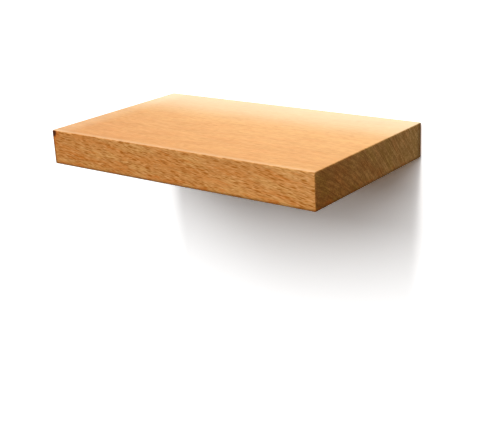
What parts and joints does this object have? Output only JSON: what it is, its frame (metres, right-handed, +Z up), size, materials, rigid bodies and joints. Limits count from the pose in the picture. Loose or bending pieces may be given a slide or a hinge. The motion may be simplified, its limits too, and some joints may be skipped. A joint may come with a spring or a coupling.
{
  "type": "wall shelf with magnetic key holder",
  "caption": "Small floating wall shelf of solid beech with magnets let into its underside that hold keys, on a concealed steel plate with rods.",
  "frame": {"origin": "centre of the back face, on the wall plane, at mid-thickness of the board", "axes": "+X along the wall to the right as seen from the room, +Y into the wall, +Z up; the front edge faces -Y"},
  "size_m": [0.135, 0.08, 0.015],
  "materials": {
    "beech": "sanded and oiled, satin",
    "zinc_steel": "bright zinc plated",
    "black_steel": "black oxide",
    "nickel_plate": "bright nickel plated"
  },
  "bodies": {
    "root": {"shelf_board": "beech", "wall_plate": "zinc_steel", "rod_left": "zinc_steel", "lock_screw_left": "black_steel", "magnet_cup_left": "nickel_plate", "magnet_left": "nickel_plate", "magnet_screw_left": "zinc_steel", "rod_right": "zinc_steel", "lock_screw_right": "black_steel", "magnet_cup_right": "nickel_plate", "magnet_right": "nickel_plate", "magnet_screw_right": "zinc_steel"}
  },
  "joints": []
}
